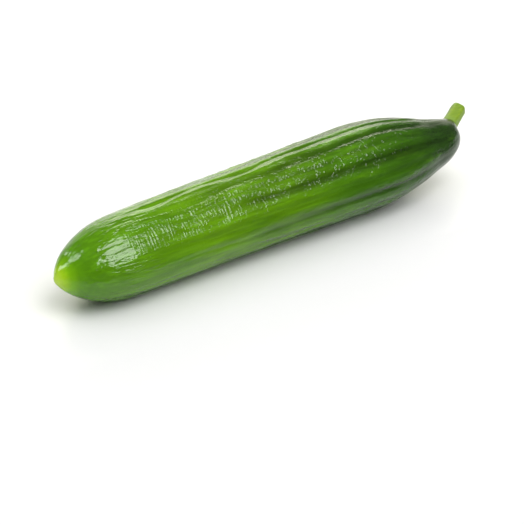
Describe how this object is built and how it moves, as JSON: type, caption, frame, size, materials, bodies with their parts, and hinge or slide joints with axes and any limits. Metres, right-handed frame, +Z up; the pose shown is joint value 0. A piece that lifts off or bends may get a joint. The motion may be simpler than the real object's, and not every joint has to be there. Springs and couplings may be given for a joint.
{
  "type": "cucumber",
  "caption": "Short glasshouse cucumber lying on its side, ribbed along its length, with a rounded blossom end and a cut stub of its stem.",
  "frame": {"origin": "under the middle of the whole cucumber and stem, on the surface it lies on", "axes": "+Z up, +X along the cucumber towards its stem, +Y sideways, the way the stem leans"},
  "size_m": [0.223, 0.0394, 0.0388],
  "materials": {
    "cucumber_skin": "gloss",
    "stem_green": "satin"
  },
  "bodies": {
    "root": {"fruit": "cucumber_skin", "stem": "stem_green"}
  },
  "joints": []
}
